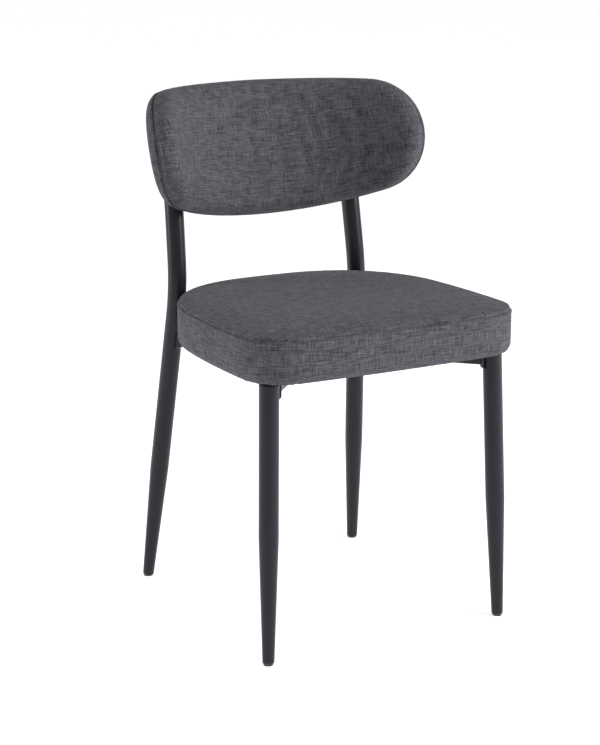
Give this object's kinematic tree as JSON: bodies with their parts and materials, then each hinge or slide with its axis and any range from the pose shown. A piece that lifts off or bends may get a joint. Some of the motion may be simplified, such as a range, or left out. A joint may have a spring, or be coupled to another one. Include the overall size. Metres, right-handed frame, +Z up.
{
  "type": "dining chair",
  "caption": "Upholstered dining chair: padded boxed seat and curved wrap-round back pad on a black steel-tube frame with tapered splayed legs.",
  "frame": {"origin": "on the floor, under the middle of the chair's outer box", "axes": "the sitter faces -Y, +X is to the right seen from the front, +Z is up"},
  "size_m": [0.4696, 0.4799, 0.7798],
  "materials": {
    "black_powder_coat": "satin",
    "black_plastic": "matte",
    "black_rubber": "matte",
    "charcoal_linen": "matte",
    "foam": "matte",
    "plywood": "matte",
    "black_felt": "matte",
    "zinc_steel": "satin",
    "black_fastener": "satin"
  },
  "bodies": {
    "root": {"back_bolts": "black_fastener", "back_cover_front": "charcoal_linen", "back_cover_rear": "charcoal_linen", "back_foam": "foam", "back_shell": "plywood", "back_spacers": "black_rubber", "back_t_nuts": "zinc_steel", "back_wadding": "foam", "back_washers": "black_fastener", "cross_bar_front": "black_powder_coat", "cross_bar_long": "black_powder_coat", "cross_bar_rear": "black_powder_coat", "front_leg_left": "black_powder_coat", "front_leg_plug_left": "black_plastic", "front_leg_plug_right": "black_plastic", "front_leg_right": "black_powder_coat", "glide_front_left": "black_plastic", "glide_front_right": "black_plastic", "glide_rear_left": "black_plastic", "glide_rear_right": "black_plastic", "hub_plate": "black_powder_coat", "rear_leg_left": "black_powder_coat", "rear_leg_right": "black_powder_coat", "saddle_front_left": "black_powder_coat", "saddle_front_right": "black_powder_coat", "saddle_rear_left": "black_powder_coat", "saddle_rear_right": "black_powder_coat", "seat_board": "plywood", "seat_bolts": "black_fastener", "seat_cover_band": "charcoal_linen", "seat_cover_top": "charcoal_linen", "seat_dust_cover": "black_felt", "seat_foam": "foam", "seat_t_nuts": "zinc_steel", "seat_washers": "black_fastener", "staples": "zinc_steel", "upright_cap_left": "black_plastic", "upright_cap_right": "black_plastic"}
  },
  "joints": []
}
